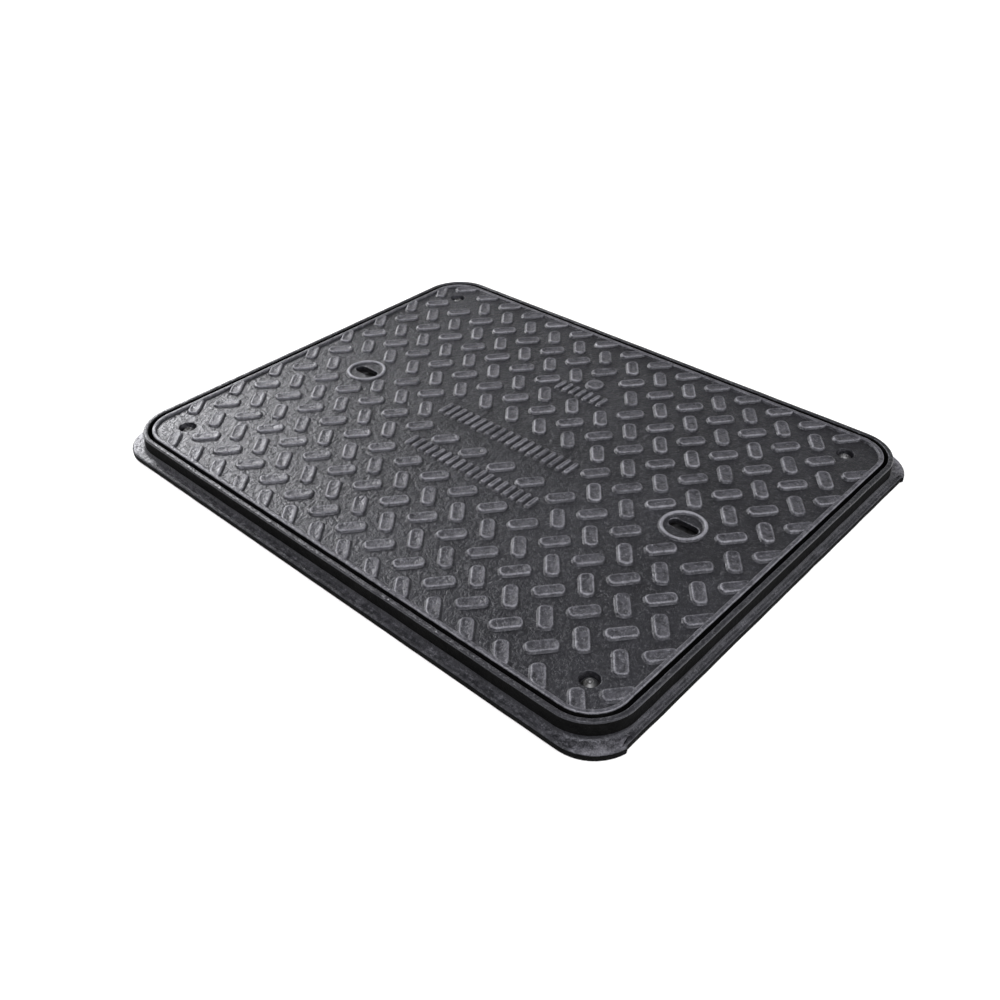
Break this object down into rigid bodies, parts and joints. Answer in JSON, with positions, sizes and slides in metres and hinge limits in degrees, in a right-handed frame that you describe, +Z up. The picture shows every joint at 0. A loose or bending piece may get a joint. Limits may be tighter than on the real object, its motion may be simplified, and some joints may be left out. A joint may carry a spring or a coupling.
{
  "type": "manhole cover",
  "caption": "Rectangular ductile iron access cover with a slanted pad tread, two lifting keyways and corner locking screws, seated on a gasket in its own flanged frame.",
  "frame": {"origin": "centre of the frame's base, in the plane it beds on", "axes": "+X along the long side, +Y along the short side, +Z up out of the walked-on face"},
  "size_m": [0.6786, 0.54, 0.026],
  "materials": {
    "bitumen_iron_cover": "rough cast iron with a thin black bitumen coat, greyer on worn pads",
    "bitumen_iron_frame": "rough cast iron with a thin black bitumen coat",
    "gasket_rubber": "matt EPDM rubber",
    "cup_steel": "black dipped pressed steel",
    "screw_steel": "dull stainless steel",
    "zinc_steel": "dull zinc-plated steel"
  },
  "bodies": {
    "frame": {"frame_casting": "bitumen_iron_frame", "seat_gasket": "gasket_rubber", "lock_nut_front_left": "zinc_steel", "lock_nut_front_right": "zinc_steel", "lock_nut_back_right": "zinc_steel", "lock_nut_back_left": "zinc_steel"},
    "cover": {"cover_casting": "bitumen_iron_cover", "keyway_cup_left": "cup_steel", "keyway_cup_right": "cup_steel", "keyway_cup_screws": "zinc_steel"},
    "washer_front_left": {"lock_washer_front_left": "zinc_steel"},
    "screw_front_left": {"lock_screw_front_left": "screw_steel"},
    "washer_front_right": {"lock_washer_front_right": "zinc_steel"},
    "screw_front_right": {"lock_screw_front_right": "screw_steel"},
    "washer_back_right": {"lock_washer_back_right": "zinc_steel"},
    "screw_back_right": {"lock_screw_back_right": "screw_steel"},
    "washer_back_left": {"lock_washer_back_left": "zinc_steel"},
    "screw_back_left": {"lock_screw_back_left": "screw_steel"}
  },
  "joints": [
    {"name": "cover_lift", "type": "slide", "parent": "frame", "child": "cover", "axis": [0, 0, 1], "range_m": [0, 0.08]},
    {"name": "lock_rise_front_left", "type": "slide", "parent": "cover", "child": "washer_front_left", "axis": [0, 0, 1], "range_m": [0, 0.00626]},
    {"name": "lock_turn_front_left", "type": "hinge", "parent": "washer_front_left", "child": "screw_front_left", "pos_m": [-0.282, -0.212, 0.0166], "axis": [0, 0, 1], "range_deg": [0, 1800]},
    {"name": "lock_rise_front_right", "type": "slide", "parent": "cover", "child": "washer_front_right", "axis": [0, 0, 1], "range_m": [0, 0.00626]},
    {"name": "lock_turn_front_right", "type": "hinge", "parent": "washer_front_right", "child": "screw_front_right", "pos_m": [0.282, -0.212, 0.0166], "axis": [0, 0, 1], "range_deg": [0, 1800]},
    {"name": "lock_rise_back_right", "type": "slide", "parent": "cover", "child": "washer_back_right", "axis": [0, 0, 1], "range_m": [0, 0.00626]},
    {"name": "lock_turn_back_right", "type": "hinge", "parent": "washer_back_right", "child": "screw_back_right", "pos_m": [0.282, 0.212, 0.0166], "axis": [0, 0, 1], "range_deg": [0, 1800]},
    {"name": "lock_rise_back_left", "type": "slide", "parent": "cover", "child": "washer_back_left", "axis": [0, 0, 1], "range_m": [0, 0.00626]},
    {"name": "lock_turn_back_left", "type": "hinge", "parent": "washer_back_left", "child": "screw_back_left", "pos_m": [-0.282, 0.212, 0.0166], "axis": [0, 0, 1], "range_deg": [0, 1800]}
  ],
  "couplings": [
    {"joint": "lock_rise_front_left", "follows": "lock_turn_front_left", "m_per_rad": 0.00019894},
    {"joint": "lock_rise_front_right", "follows": "lock_turn_front_right", "m_per_rad": 0.00019894},
    {"joint": "lock_rise_back_right", "follows": "lock_turn_back_right", "m_per_rad": 0.00019894},
    {"joint": "lock_rise_back_left", "follows": "lock_turn_back_left", "m_per_rad": 0.00019894}
  ]
}
